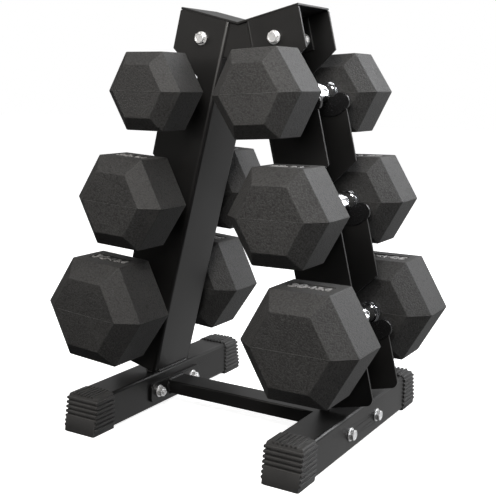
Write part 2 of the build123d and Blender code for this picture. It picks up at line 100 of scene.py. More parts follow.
class Graph:
    """A material's nodes, made one after another."""

    def __init__(self, name):
        self.material = bpy.data.materials.new(name)
        self.material.use_nodes = True
        self.tree = self.material.node_tree
        self.shader = self.tree.nodes["Principled BSDF"]
        self.coordinates = self.tree.nodes.new("ShaderNodeTexCoord").outputs["Object"]

    def node(self, kind, values=None, links=None, **settings):
        """A node with its settings, its input values and its input links."""
        made = self.tree.nodes.new(kind)
        for key, value in settings.items():
            setattr(made, key, value)
        for key, value in (values or {}).items():
            made.inputs[key].default_value = value
        for key, source in (links or {}).items():
            self.tree.links.new(source, made.inputs[key])
        return made

    def noise(self, scale, detail=3.0, roughness=0.55, stretch=None):
        """Noise of that many features a metre, stretched along the axes if asked."""
        source = self.coordinates
        if stretch:
            mapping = self.node("ShaderNodeMapping", {"Scale": stretch}, {"Vector": source})
            source = mapping.outputs["Vector"]
        values = {"Scale": scale, "Detail": detail, "Roughness": roughness}
        return self.node("ShaderNodeTexNoise", values, {"Vector": source}).outputs["Fac"]

    def spots(self, scale, feature="F1"):
        """Distance to scattered points."""
        values = {"Scale": scale, "Randomness": 1.0}
        made = self.node("ShaderNodeTexVoronoi", values, {"Vector": self.coordinates},
                         feature=feature)
        return made.outputs["Distance"]

    def spread(self, source, low, high, to_low=0.0, to_high=1.0):
        """A value mapped from one range to another, held at the ends."""
        values = {1: low, 2: high, 3: to_low, 4: to_high}
        return self.node("ShaderNodeMapRange", values, {0: source}).outputs[0]

    def maths(self, operation, first, second):
        """Two values, each a number or a link, put through a maths operation."""
        made = self.node("ShaderNodeMath", operation=operation)
        for index, item in enumerate((first, second)):
            if isinstance(item, (int, float)):
                made.inputs[index].default_value = item
            else:
                self.tree.links.new(item, made.inputs[index])
        return made.outputs[0]

    def mix(self, amount, first, second):
        """A colour between two colours, each a tuple or a link."""
        made = self.node("ShaderNodeMix", data_type="RGBA")
        self.tree.links.new(amount, made.inputs["Factor"])
        for key, item in ((6, first), (7, second)):
            if isinstance(item, tuple):
                made.inputs[key].default_value = (*item, 1.0)
            else:
                self.tree.links.new(item, made.inputs[key])
        return made.outputs[2]

    def edges(self, radius):
        """1 within about a radius of an edge, 0 on open surfaces."""
        rounded = self.node("ShaderNodeBevel", {"Radius": radius}, samples=BEVEL_SAMPLES)
        geometry = self.node("ShaderNodeNewGeometry")
        dot = self.node("ShaderNodeVectorMath", operation="DOT_PRODUCT")
        self.tree.links.new(rounded.outputs["Normal"], dot.inputs[0])
        self.tree.links.new(geometry.outputs["Normal"], dot.inputs[1])
        return self.spread(dot.outputs["Value"], FACING_OFF_EDGE, FACING_ON_EDGE)

    def bump(self, height, distance, strength=1.0, round_edges=None):
        """Relief on the shader's normal, over rounded edges if a radius is given."""
        made = self.node("ShaderNodeBump", {"Strength": strength, "Distance": distance},
                         {"Height": height})
        if round_edges:
            rounded = self.node("ShaderNodeBevel", {"Radius": round_edges},
                                samples=BEVEL_SAMPLES)
            self.tree.links.new(rounded.outputs["Normal"], made.inputs["Normal"])
        self.tree.links.new(made.outputs["Normal"], self.shader.inputs["Normal"])

    def set(self, **values):
        """Constants and links on the shader's own sockets."""
        for key, value in values.items():
            socket = self.shader.inputs[key.replace("_", " ")]
            if isinstance(value, bpy.types.NodeSocket):
                self.tree.links.new(value, socket)
            else:
                socket.default_value = value


def rubber_material(name="head_rubber_fine_grain", lift=1.0):
    """Matte moulded rubber with a fine pebbled grain, greyer where it is rubbed, with a painted
    highlight on the grain's tops and painted shade in its pits.
    lift makes every tone of it lighter."""
    g = Graph(name)

    def tone(red, green, blue):
        return (red * lift, green * lift, blue * lift)

    dark = tone(0.0215, 0.0213, 0.0210)
    light = tone(0.0320, 0.0316, 0.0312)
    grain_top_painted_highlight = tone(0.0560, 0.0555, 0.0555)
    grain_pit_painted_shade = tone(0.0100, 0.0100, 0.0100)
    scuffed = tone(0.090, 0.088, 0.086)
    rubbed = tone(0.110, 0.108, 0.106)
    grain = g.noise(scale=520.0, detail=3.0, roughness=0.65)
    pebbles = g.spread(g.spots(scale=430.0), 0.05, 0.8)
    cloud = g.noise(scale=16.0, detail=5.0, roughness=0.65)
    scratches = g.noise(scale=55.0, detail=6.0, roughness=0.72, stretch=(1.0, 0.35, 1.0))
    scuffs = g.spread(scratches, 0.54, 0.76)
    patches = g.spread(g.noise(scale=95.0, detail=3.0), 0.35, 0.75)
    worn = g.maths("MULTIPLY", g.edges(2.2 * MM), patches)
    base = g.mix(g.spread(cloud, 0.32, 0.68), dark, light)
    # Painted light and shade on the grain: its raised tops are made lighter and the pits between
    # the pebbles darker, following the relief of the bump below.
    base = g.mix(g.spread(grain, 0.42, 0.66), base, grain_top_painted_highlight)
    base = g.mix(g.spread(pebbles, 0.75, 1.0, 0.0, 0.55), base, grain_pit_painted_shade)
    base = g.mix(g.maths("MULTIPLY", scuffs, 0.20), base, scuffed)
    base = g.mix(g.maths("MULTIPLY", worn, 0.45), base, rubbed)
    g.set(Base_Color=base, Roughness=g.spread(grain, 0.35, 0.70, 0.56, 0.78))
    g.set(Specular_IOR_Level=0.45)
    relief = g.maths("SUBTRACT", g.maths("MULTIPLY", grain, 1.2), pebbles)
    g.bump(relief, distance=0.30 * MM, strength=0.8)
    return g.material


def paint_material():
    """Satin black powder coat on steel: orange peel, slight clouding, rubbed edges."""
    g = Graph("frame_paint_powder_coat")
    dark = (0.0085, 0.0084, 0.0084)
    light = (0.0140, 0.0136, 0.0134)
    dusty = (0.045, 0.044, 0.043)
    rubbed = (0.10, 0.10, 0.10)
    peel = g.noise(scale=420.0, detail=2.0, roughness=0.5)
    cloud = g.noise(scale=9.0, detail=3.0, roughness=0.5)
    dust = g.spread(g.noise(scale=240.0, detail=6.0, roughness=0.75), 0.62, 0.80)
    patches = g.spread(g.noise(scale=70.0, detail=4.0), 0.40, 0.70)
    edge = g.maths("MULTIPLY", g.edges(0.9 * MM), patches)
    base = g.mix(g.spread(cloud, 0.3, 0.7), dark, light)
    base = g.mix(g.maths("MULTIPLY", dust, 0.25), base, dusty)
    base = g.mix(g.maths("MULTIPLY", edge, 0.35), base, rubbed)
    g.set(Base_Color=base, Roughness=g.spread(cloud, 0.3, 0.7, 0.33, 0.42))
    g.set(Specular_IOR_Level=0.5)
    g.bump(peel, distance=0.05 * MM, strength=0.5, round_edges=0.8 * MM)
    return g.material


def cap_material():
    """Moulded matte black plastic with a fine spark-eroded texture."""
    g = Graph("cap_plastic_matte")
    dark = (0.036, 0.0355, 0.0355)
    light = (0.050, 0.0494, 0.0490)
    rubbed = (0.12, 0.118, 0.116)
    grain = g.noise(scale=1600.0, detail=3.0, roughness=0.65)
    cloud = g.noise(scale=30.0, detail=3.0)
    patches = g.spread(g.noise(scale=120.0, detail=3.0), 0.35, 0.7)
    worn = g.maths("MULTIPLY", g.edges(1.0 * MM), patches)
    base = g.mix(g.spread(cloud, 0.3, 0.7), dark, light)
    base = g.mix(g.maths("MULTIPLY", worn, 0.5), base, rubbed)
    g.set(Base_Color=base, Roughness=g.spread(grain, 0.25, 0.75, 0.50, 0.68))
    g.bump(grain, distance=0.08 * MM, strength=0.6, round_edges=0.5 * MM)
    return g.material


def saddle_material():
    """Smooth black plastic liners, slightly scratched by the handles."""
    g = Graph("saddle_plastic_gloss")
    smooth = (0.011, 0.011, 0.0115)
    scratched = (0.030, 0.030, 0.030)
    lines = g.noise(scale=500.0, detail=4.0, roughness=0.7, stretch=(1.0, 0.08, 1.0))
    scratches = g.spread(lines, 0.60, 0.75)
    ripple = g.noise(scale=160.0, detail=2.0)
    base = g.mix(scratches, smooth, scratched)
    g.set(Base_Color=base, Roughness=g.spread(scratches, 0.0, 1.0, 0.22, 0.42))
    g.bump(ripple, distance=0.03 * MM, strength=0.5, round_edges=0.5 * MM)
    return g.material


def zinc_material():
    """Bright zinc plate with faint mottling and a little tarnish."""
    g = Graph("zinc_bright")
    dark = (0.93, 0.94, 0.95)
    light = (0.98, 0.98, 0.98)
    tarnished = (0.50, 0.48, 0.44)
    mottle = g.noise(scale=350.0, detail=4.0, roughness=0.6)
    tarnish = g.spread(g.noise(scale=120.0, detail=4.0, roughness=0.6), 0.55, 0.75)
    base = g.mix(g.spread(mottle, 0.3, 0.7), dark, light)
    base = g.mix(g.maths("MULTIPLY", tarnish, 0.5), base, tarnished)
    g.set(Base_Color=base, Metallic=0.7, Roughness=g.spread(mottle, 0.3, 0.7, 0.32, 0.46))
    g.bump(mottle, distance=0.02 * MM, strength=0.4)
    return g.material


def chrome_material():
    """Polished chrome with faint hand marks."""
    g = Graph("handle_chrome_plate")
    clean = (0.78, 0.79, 0.81)
    touched = (0.66, 0.66, 0.67)
    hand_marks = g.spread(g.noise(scale=55.0, detail=5.0, roughness=0.65), 0.45, 0.75)
    fine = g.noise(scale=900.0, detail=2.0)
    base = g.mix(hand_marks, clean, touched)
    g.set(Base_Color=base, Metallic=1.0, Roughness=g.spread(hand_marks, 0.0, 1.0, 0.07, 0.20))
    g.bump(fine, distance=0.01 * MM, strength=0.25)
    return g.material


def iron_material():
    """Rough cast iron, seen only if a head is taken apart."""
    g = Graph("core_cast_iron")
    dark = (0.055, 0.054, 0.053)
    light = (0.11, 0.105, 0.10)
    rusty = (0.15, 0.07, 0.035)
    sand = g.noise(scale=700.0, detail=5.0, roughness=0.7)
    rust = g.spread(g.noise(scale=45.0, detail=5.0, roughness=0.7), 0.55, 0.72)
    base = g.mix(sand, dark, light)
    base = g.mix(rust, base, rusty)
    g.set(Base_Color=base, Metallic=0.6, Roughness=g.spread(sand, 0.2, 0.8, 0.55, 0.8))
    g.bump(sand, distance=0.25 * MM, strength=0.8)
    return g.material


MARK_LIFT = 7.0           # the raised numerals are rubbed much lighter than the heads

MATERIALS = {
    "head_rubber": rubber_material(),
    "mark_rubber": rubber_material("mark_rubber_rubbed", MARK_LIFT),
    "frame_paint": paint_material(),
    "cap_plastic": cap_material(),
    "saddle_plastic": saddle_material(),
    "zinc": zinc_material(),
    "handle_chrome": chrome_material(),
    "core_iron": iron_material(),
}


# ---- Mesh building blocks ---------------------------------------------------------------------
SAME_POINT = 1e-7          # points this near each other are one


class Shape:
    """Corners and faces of a piece, gathered from closed parts."""

    def __init__(self):
        self.points = []
        self.faces = []
        self.smooth = []

    def add(self, points, faces, place=None, smooth=True):
        """A closed part at a place."""
        start = len(self.points)
        place = place or Matrix.Identity(4)
        self.points += [place @ Vector(p) for p in points]
        for face in faces:
            self.faces.append([start + i for i in face])
            self.smooth.append(smooth)

    def piece(self, name, slot, body, *stands_for, look=None):
        """The object, its faces turned outwards, riding on a body and standing for CAD nodes if
        any are named. look is a finish other than the slot's own."""
        mesh = bpy.data.meshes.new(name)
        mesh.from_pydata([tuple(p) for p in self.points], [], self.faces)
        mesh.polygons.foreach_set("use_smooth", self.smooth)
        mesh.materials.append(MATERIALS[look or slot])
        mesh.validate()
        sewn = bmesh.new()
        sewn.from_mesh(mesh)
        bmesh.ops.remove_doubles(sewn, verts=sewn.verts, dist=SAME_POINT)
        bmesh.ops.recalc_face_normals(sewn, faces=sewn.faces)
        sewn.to_mesh(mesh)
        sewn.free()
        mesh.update()
        made = bpy.data.objects.new(name, mesh)
        bpy.context.scene.collection.objects.link(made)
        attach(made, body)
        if stands_for:
            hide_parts(*stands_for)
        return made


def rings(rows, closed_ends=True):
    """Points and faces of a tube over closed rows of one count of points."""
    points = [p for row in rows for p in row]
    count = len(rows[0])
    faces = []
    for r in range(len(rows) - 1):
        for i in range(count):
            j = (i + 1) % count
            faces.append([r * count + i, r * count + j, (r + 1) * count + j, (r + 1) * count + i])
    if closed_ends:
        faces.append(list(range(count))[::-1])
        faces.append([(len(rows) - 1) * count + i for i in range(count)])
    return points, faces


def circle_row(radius, z, count):
    """Points round a level circle."""
    step = 2 * math.pi / count
    return [(radius * math.cos(i * step), radius * math.sin(i * step), z) for i in range(count)]


def sharp_by_angle(made, degrees):
    """Smooth shading that breaks at edges sharper than an angle."""
    made.data.set_sharp_from_angle(angle=math.radians(degrees))


def body_of_dumbbell(side, tier):
    return "dumbbell_" + side + "_" + TIERS[tier]


def on_upright(out, up):
    """(x, z) of a point so far out of the web and up along the +X upright."""
    x = UPRIGHT_X + out * math.cos(LEAN) - up * math.sin(LEAN)
    z = TUBE_TOP + out * math.sin(LEAN) + up * math.cos(LEAN)
    return x, z


def dumbbell_place(side, tier):
    """Local X across, Y along the handle, Z up, turned by the way the dumbbell lies."""
    x, z = on_upright(HANDLE_OUT, TIER_HEIGHTS[tier])
    turn = Matrix.Rotation(-math.radians(ROLLS[side][tier]), 4, "Y")
    return Matrix.Translation((SIDES[side] * x, 0, z)) @ turn


# ---- Camera, lights and floor -----------------------------------------------------------------
CAMERA_PLACE = (0.636402, -1.074883, 0.475221)
CAMERA_YAW = math.radians(30.7998)
CAMERA_PITCH = math.radians(10.4004)
CAMERA_ROLL = math.radians(0.90094)
SENSOR_WIDTH = 36.0
LENS = 64.83


def camera():
    """The camera, turned left by its yaw, down by its pitch and then rolled."""
    level = math.cos(CAMERA_PITCH)
    forward = Vector((-math.sin(CAMERA_YAW) * level, math.cos(CAMERA_YAW) * level,
                      -math.sin(CAMERA_PITCH)))
    right = Vector((math.cos(CAMERA_YAW), math.sin(CAMERA_YAW), 0))
    up = right.cross(forward)
    right_rolled = math.cos(CAMERA_ROLL) * right + math.sin(CAMERA_ROLL) * up
    up_rolled = -math.sin(CAMERA_ROLL) * right + math.cos(CAMERA_ROLL) * up
    matrix = Matrix((right_rolled, up_rolled, -forward)).transposed().to_4x4()
    matrix.translation = CAMERA_PLACE
    data = bpy.data.cameras.new("camera")
    data.sensor_width = SENSOR_WIDTH
    data.lens = LENS
    data.clip_start = 0.05
    data.clip_end = 50.0
    made = bpy.data.objects.new("camera", data)
    made.matrix_world = matrix
    bpy.context.scene.collection.objects.link(made)
    bpy.context.scene.camera = made


def area_light(name, place, size, watts, colour):
    """A soft box that faces the middle of the rack."""
    data = bpy.data.lights.new(name, "AREA")
    data.shape = "RECTANGLE"
    data.size, data.size_y = size
    data.energy = watts
    data.color = colour
    made = bpy.data.objects.new(name, data)
    made.location = place
    direction = Vector(LIGHTS_AIM) - Vector(place)
    made.rotation_mode = "QUATERNION"
    made.rotation_quaternion = direction.to_track_quat("-Z", "Y")
    bpy.context.scene.collection.objects.link(made)


WHITE = (1.0, 1.0, 1.0, 1.0)
DIM = 0.035               # surroundings in front of the rack
BRIGHT = 0.55             # surroundings behind it
BEHIND = (0.40, 0.92, 0.0)     # the way from the rack to the brightest part
DIM_UNTIL = -0.1          # how far a direction agrees with that one where the rise starts
BRIGHT_FROM = 0.75        # and where it ends
FLOOR_HALF = 9.0
FLOOR_DEPTH = 0.01
FLOOR_GLOW = 0.85
LIGHTS_AIM = (0.0, 0.0, 0.3)
LIGHTS = [
    # name, place, size, watts, colour
    ("right_back_key", (1.6, 1.2, 1.35), (1.0, 1.0), 24.0, (0.97, 0.98, 1.0)),
    ("right_back_near", (0.60, 0.50, 1.00), (0.4, 0.4), 6.0, (0.97, 0.98, 1.0)),
    ("right", (2.0, 0.1, 1.5), (1.2, 1.2), 9.0, (0.96, 0.98, 1.0)),
    ("front_top", (0.15, -1.10, 1.50), (0.9, 0.9), 10.0, (1.0, 0.97, 0.93)),
    ("front_near", (0.25, -0.72, 0.86), (0.3, 0.3), 3.8, (1.0, 0.97, 0.93)),
    ("left_front", (-1.7, -1.3, 1.2), (1.2, 1.2), 8.0, (1.0, 0.97, 0.93)),
    ("camera_side", (0.9, -1.7, 1.0), (0.3, 0.3), 5.0, (1.0, 0.97, 0.94)),
    ("top", (0.1, 0.2, 2.4), (1.2, 1.2), 9.0, (1.0, 1.0, 1.0)),
]


def studio():
    """A backdrop that is white to the eye and bright behind the rack, and a few soft boxes."""
    world = bpy.data.worlds.new("studio")
    world.use_nodes = True
    tree = world.node_tree
    around = tree.nodes["Background"]
    around.inputs["Color"].default_value = WHITE
    direction = tree.nodes.new("ShaderNodeTexCoord")
    behind = tree.nodes.new("ShaderNodeVectorMath")
    behind.operation = "DOT_PRODUCT"
    behind.inputs[1].default_value = BEHIND
    tree.links.new(direction.outputs["Generated"], behind.inputs[0])
    level = tree.nodes.new("ShaderNodeMapRange")
    level.interpolation_type = "SMOOTHSTEP"
    for index, value in ((1, DIM_UNTIL), (2, BRIGHT_FROM), (3, DIM), (4, BRIGHT)):
        level.inputs[index].default_value = value
    tree.links.new(behind.outputs["Value"], level.inputs[0])
    tree.links.new(level.outputs[0], around.inputs["Strength"])
    backdrop = tree.nodes.new("ShaderNodeBackground")
    backdrop.inputs["Color"].default_value = WHITE
    rays = tree.nodes.new("ShaderNodeLightPath")
    choice = tree.nodes.new("ShaderNodeMixShader")
    tree.links.new(rays.outputs["Is Camera Ray"], choice.inputs["Fac"])
    tree.links.new(around.outputs["Background"], choice.inputs[1])
    tree.links.new(backdrop.outputs["Background"], choice.inputs[2])
    tree.links.new(choice.outputs["Shader"], tree.nodes["World Output"].inputs["Surface"])
    bpy.context.scene.world = world
    bpy.context.scene.view_settings.view_transform = "Standard"
    for name, place, size, watts, colour in LIGHTS:
        area_light(name, place, size, watts, colour)


def floor():
    """A pale floor, bright enough to run into the backdrop, that doesn't light the rack."""
    corners = ((-1, -1), (1, -1), (1, 1), (-1, 1))
    rows = [[(x * FLOOR_HALF, y * FLOOR_HALF, z) for x, y in corners] for z in (-FLOOR_DEPTH, 0)]
    points, faces = rings(rows)
    mesh = bpy.data.meshes.new("floor")
    mesh.from_pydata(points, [], faces)
    g = Graph("floor_pale")
    base = g.mix(g.noise(scale=3.0), (0.86, 0.86, 0.86), (0.90, 0.90, 0.90))
    g.set(Base_Color=base, Roughness=0.7, Emission_Color=WHITE, Emission_Strength=FLOOR_GLOW)
    mesh.materials.append(g.material)
    made = bpy.data.objects.new("floor", mesh)
    bpy.context.scene.collection.objects.link(made)
    made.visible_diffuse = False
    made.visible_glossy = False


# ---- Fasteners --------------------------------------------------------------------------------
FASTENER_SHARP = 28       # degrees
HEX_SAMPLES = 48
CROWN_SHARE = 0.96        # flat circle of a head, to its distance across flats
CROWN_SLOPE = math.radians(30)
UNDERSIDE_SHARE = 0.985   # flat circle underneath, to the one on top
DISH_SHARE = 0.80         # dished circle in the middle of a head
DISH_FLOOR_SHARE = 0.74
DISH_DEPTH = 0.25 * MM
BORE_MOUTH = 1.12         # countersunk mouth of a nut, to its bore
BORE_MOUTH_DEPTH = 0.5 * MM
WASHER_EASE = 0.3 * MM
WASHER_PLAY = 0.3 * MM
WASHER_SAMPLES = 48
THREAD_PITCH = 1.25 * MM
THREAD_DEPTH = 0.55 * MM
THREAD_SAMPLES = 32
ROWS_A_PITCH = 6
END_TAPER = 0.8 * MM      # over this length at its end a shank narrows
END_TAPER_REST = 0.25
END_TAPER_CUT = 0.5 * MM
SHANK_SHARE = 0.98        # plain shank to the thread's outside
SHANK_IN_HEAD = 0.5 * MM
THREAD_IN_NUT = 1.0 * MM  # the thread shows from this far inside the nut
SHANK_TO_THREAD = 0.1 * MM


def hex_radius(angle):
    """Distance from the middle of a hexagon to its outline."""
    sector = math.pi / 3
    return HEX_FLATS / 2 / math.cos(angle % sector - sector / 2)


def hex_rows(bottom, top, bore, both_crowned):
    """Rows of a hexagon block whose corners are turned down, from the bore round the outside."""
    flat = HEX_FLATS / 2 * CROWN_SHARE
    slope = math.tan(CROWN_SLOPE)
    step = 2 * math.pi / HEX_SAMPLES
    angles = [i * step for i in range(HEX_SAMPLES)]

    def crowned(height, way):
        outer = []
        for a in angles:
            r = hex_radius(a)
            drop = max(0.0, r - flat) * slope
            outer.append((r * math.cos(a), r * math.sin(a), height - way * drop))
        return outer

    rows = [circle_row(flat * UNDERSIDE_SHARE, bottom, HEX_SAMPLES),
            crowned(bottom, -1 if both_crowned else 0), crowned(top, 1),
            circle_row(flat, top, HEX_SAMPLES)]
    if bore:
        mouth_low = circle_row(bore * BORE_MOUTH, bottom, HEX_SAMPLES)
        mouth_high = circle_row(bore * BORE_MOUTH, top, HEX_SAMPLES)
        bore_high = circle_row(bore, top - BORE_MOUTH_DEPTH, HEX_SAMPLES)
        bore_low = circle_row(bore, bottom + BORE_MOUTH_DEPTH, HEX_SAMPLES)
        return [bore_low, mouth_low] + rows + [mouth_high, bore_high, bore_low]
    # A shallow dished circle in the middle of the head.
    return rows + [circle_row(flat * DISH_SHARE, top, HEX_SAMPLES),
                   circle_row(flat * DISH_FLOOR_SHARE, top - DISH_DEPTH, HEX_SAMPLES)]


def thread_rows(start, end):
    """Rows down a threaded shank, from a start height to a lower end height."""
    rows = []
    step = THREAD_PITCH / ROWS_A_PITCH
    total = int((start - end) / step)
    for r in range(total + 1):
        z = start - r * step
        full = min(1.0, (z - end) / END_TAPER + END_TAPER_REST)
        row = []
        for i in range(THREAD_SAMPLES):
            phase = (z / THREAD_PITCH + i / THREAD_SAMPLES) % 1.0
            depth = THREAD_DEPTH * abs(2 * phase - 1)
            a = 2 * math.pi * i / THREAD_SAMPLES
            radius = BOLT_RADIUS - depth - (1 - full) * END_TAPER_CUT
            row.append((radius * math.cos(a), radius * math.sin(a), z))
        rows.append(row)
    return rows


def add_bolt(shape, place, grip):
    """Head above local z = 0, threaded shank down through the grip, the nut and past it."""
    points, faces = rings(hex_rows(WASHER_THICKNESS, WASHER_THICKNESS + HEAD_THICKNESS, 0, False))
    shape.add(points, faces, place)
    nut_end = -grip - WASHER_THICKNESS - NUT_THICKNESS
    thread_start = nut_end + THREAD_IN_NUT
    shank = BOLT_RADIUS * SHANK_SHARE
    rows = [circle_row(shank, WASHER_THICKNESS + SHANK_IN_HEAD, THREAD_SAMPLES),
            circle_row(shank, thread_start, THREAD_SAMPLES)]
    rows += thread_rows(thread_start - SHANK_TO_THREAD, nut_end - BOLT_END)
    points, faces = rings(rows)
    shape.add(points, faces, place)


def add_nut(shape, place, grip):
    """A hexagon nut under the grip and its washer."""
    top = -grip - WASHER_THICKNESS
    points, faces = rings(hex_rows(top - NUT_THICKNESS, top, BOLT_RADIUS, True),
                          closed_ends=False)
    shape.add(points, faces, place)


def add_washer(shape, place, bottom):
    """A ring with eased edges."""
    inner = BOLT_RADIUS + WASHER_PLAY
    top = bottom + WASHER_THICKNESS
    profile = [(inner, bottom + WASHER_EASE), (inner + WASHER_EASE, bottom),
               (WASHER_RADIUS - WASHER_EASE, bottom), (WASHER_RADIUS, bottom + WASHER_EASE),
               (WASHER_RADIUS, top - WASHER_EASE), (WASHER_RADIUS - WASHER_EASE, top),
               (inner + WASHER_EASE, top), (inner, top - WASHER_EASE)]
    rows = [circle_row(r, z, WASHER_SAMPLES) for r, z in profile + profile[:1]]
    points, faces = rings(rows, closed_ends=False)
    shape.add(points, faces, place)


def foot_bolt_places():
    """Where the foot bolts' heads sit, local Z pointing out of the rack's sides."""
    places = []
    for side in (-1, 1):
        for y in (-FOOT_BOLT_Y, FOOT_BOLT_Y):
            turn = Matrix.Rotation(math.radians(90 * side), 4, "Y")
            spin = Matrix.Rotation(FOOT_BOLT_TURN * side, 4, "Z")
            at = Matrix.Translation((side * (FOOT_X + TUBE_HALF), y, BAR_Z))
            places.append(at @ turn @ spin)
    return places


def top_bolt_places():
    """Where the top bolts' heads sit, local Z pointing out of the front and the back."""
    places = []
    x, z = on_upright(TOP_BOLT_OUT, UPRIGHT_LENGTH - TOP_BOLT_DOWN)
    for side in (-1, 1):
        for end in (-1, 1):
            turn = Matrix.Rotation(math.radians(-90 * end), 4, "X")
            spin = Matrix.Rotation(TOP_BOLT_TURN, 4, "Z")
            places.append(Matrix.Translation((side * x, end * CHANNEL_HALF, z)) @ turn @ spin)
    return places


def fasteners():
    """Bolts, nuts and washers with crowned hexagons, threads and eased edges."""
    for set_name, places, grip in (("foot", foot_bolt_places(), FOOT_GRIP),
                                   ("top", top_bolt_places(), TOP_GRIP)):
        bolts, nuts, washers = Shape(), Shape(), Shape()
        for place in places:
            add_bolt(bolts, place, grip)
            add_nut(nuts, place, grip)
            add_washer(washers, place, 0.0)
            add_washer(washers, place, -grip - WASHER_THICKNESS)
        for kind, shape in (("bolts", bolts), ("nuts", nuts), ("washers", washers)):
            made = shape.piece("detailed_" + set_name + "_" + kind, "zinc", "rack",
                               set_name + "_" + kind)
            sharp_by_angle(made, FASTENER_SHARP)


# ---- Handles ----------------------------------------------------------------------------------
HANDLE_SHARP = 24         # degrees
KNURL_AROUND = 84
KNURL_STEP = 1.15 * MM
KNURL_DEPTH = 0.35 * MM
KNURL_END = 36.0 * MM
KNURL_FADE = 1.5 * MM     # over this length the knurling rises from the neck
# Outline from the end of a handle to its knurling: radius, and distance from the grip's middle.
# The collar beside the head comes first, then the slim ring and the neck.
HANDLE_OUTLINE = [
    (NECK_RADIUS, 67.5 * MM), (15.2 * MM, 67.5 * MM), (16.0 * MM, 66.7 * MM),
    (16.0 * MM, 60.2 * MM), (15.2 * MM, 59.4 * MM), (NECK_RADIUS, 59.2 * MM),
    (NECK_RADIUS, 57.4 * MM), (14.6 * MM, 57.2 * MM), (15.1 * MM, 56.6 * MM),
    (15.1 * MM, 55.4 * MM), (14.6 * MM, 54.8 * MM), (NECK_RADIUS, 54.6 * MM),
    (NECK_RADIUS, 47.0 * MM), (NECK_RADIUS, 40.0 * MM), (NECK_RADIUS, 36.6 * MM),
]


def grip_radius(y):
    """The swelling of the grip between its necks."""
    t = min(1.0, abs(y) / NECK_START)
    return NECK_RADIUS + (GRIP_RADIUS - NECK_RADIUS) * (1 - t * t)


def handle(side, tier):
    """Knurled swelling grip, plain necks, a collar and a ring before each head."""
    count = KNURL_AROUND
    rows = [circle_row(radius, -y, count) for radius, y in HANDLE_OUTLINE]
    steps = int(2 * KNURL_END / KNURL_STEP) // 2 * 2
    for s in range(steps + 1):
        y = -KNURL_END + 2 * KNURL_END * s / steps
        row = []
        edge = min(1.0, (KNURL_END - abs(y)) / KNURL_FADE)
        for i in range(count):
            peak = (i + s) % 2 == 0
            r = grip_radius(y) + (0.0 if peak else -KNURL_DEPTH * edge)
            a = 2 * math.pi * i / count
            row.append((r * math.cos(a), r * math.sin(a), y))
        rows.append(row)
    rows += [circle_row(radius, y, count) for radius, y in reversed(HANDLE_OUTLINE)]
    points = [p for row in rows for p in row]
    faces = []
    first = len(HANDLE_OUTLINE)
    for r in range(len(rows) - 1):
        for i in range(count):
            j = (i + 1) % count
            a, b, c, d = r * count + i, r * count + j, (r + 1) * count + j, (r + 1) * count + i
            if first <= r < first + steps:
                # Split along the valleys, which join the low corners.
                if (i + r - first) % 2 == 0:
                    faces += [[a, b, d], [b, c, d]]
                else:
                    faces += [[a, b, c], [a, c, d]]
            else:
                faces.append([a, b, c, d])
    faces.append(list(range(count))[::-1])
    faces.append([(len(rows) - 1) * count + i for i in range(count)])
    shape = Shape()
    place = dumbbell_place(side, tier) @ Matrix.Rotation(math.radians(-90), 4, "X")
    shape.add(points, faces, place)
    name = side + "_" + TIERS[tier] + "_handle"
    made = shape.piece("detailed_" + name, "handle_chrome", body_of_dumbbell(side, tier), name)
    sharp_by_angle(made, HANDLE_SHARP)


# ---- Marks and mould seams on the heads -------------------------------------------------------
MARK_RAISED = 1.1 * MM
NUMERAL_SIZE = 1.37       # a letter size that gives numerals of height 1
NUMERAL_SWELL = 0.022     # strokes made fatter by this share of the height
NUMERAL_EASE = 0.08 * MM
NUMERAL_SEWN = 0.005 * MM
# Shares of a head's distance across flats: height and middle of the numerals, size and middle
# of the dash between them.
POUNDS_HEIGHT = 0.125
POUNDS_X = -0.125
KILOS_HEIGHT = 0.088
KILOS_X = 0.098
DASH_SIZE = (0.036, 0.018)
DASH_X = -0.026
DASH_EASE = 0.18          # to its narrow side


def numeral_mesh(text, height):
    """Points and faces of a raised numeral, its middle at the origin."""
    curve = bpy.data.curves.new("numeral", "FONT")
    curve.body = text
    curve.size = height * NUMERAL_SIZE
    curve.align_x = "CENTER"
    curve.align_y = "CENTER"
    curve.extrude = MARK_RAISED / 2
    curve.offset = height * NUMERAL_SWELL
    curve.bevel_depth = NUMERAL_EASE
    curve.resolution_u = 4
    carrier = bpy.data.objects.new("numeral", curve)
    bpy.context.scene.collection.objects.link(carrier)
    bpy.context.view_layer.update()
    evaluated = carrier.evaluated_get(bpy.context.evaluated_depsgraph_get())
    mesh = bpy.data.meshes.new_from_object(evaluated)
    welded = bmesh.new()
    welded.from_mesh(mesh)
    bmesh.ops.remove_doubles(welded, verts=welded.verts, dist=NUMERAL_SEWN)
    points = [tuple(v.co) for v in welded.verts]
    faces = [[v.index for v in f.verts] for f in welded.faces]
    welded.free()
    bpy.data.objects.remove(carrier)
    bpy.data.curves.remove(curve)
    bpy.data.meshes.remove(mesh)
    return points, faces


def raised_bar(width, depth):
    """A low block with eased upper edges, its middle at the origin."""
    ease = min(width, depth) * DASH_EASE
    top = MARK_RAISED / 2
    rows = []
    for inset, z in ((0.0, -top), (0.0, top - ease * 0.5), (ease, top)):
        w, d = width / 2 - inset, depth / 2 - inset
        rows.append([(-w, -d, z), (w, -d, z), (w, d, z), (-w, d, z)])
    return rings(rows)


def head_length(side, tier):
    """Length of a head along the handle, with both of its bevels."""
    return HEAD_PRISMS[side][tier] * MM + HEAD_FLATS[side][tier] * MM * (1 - END_SCALE)


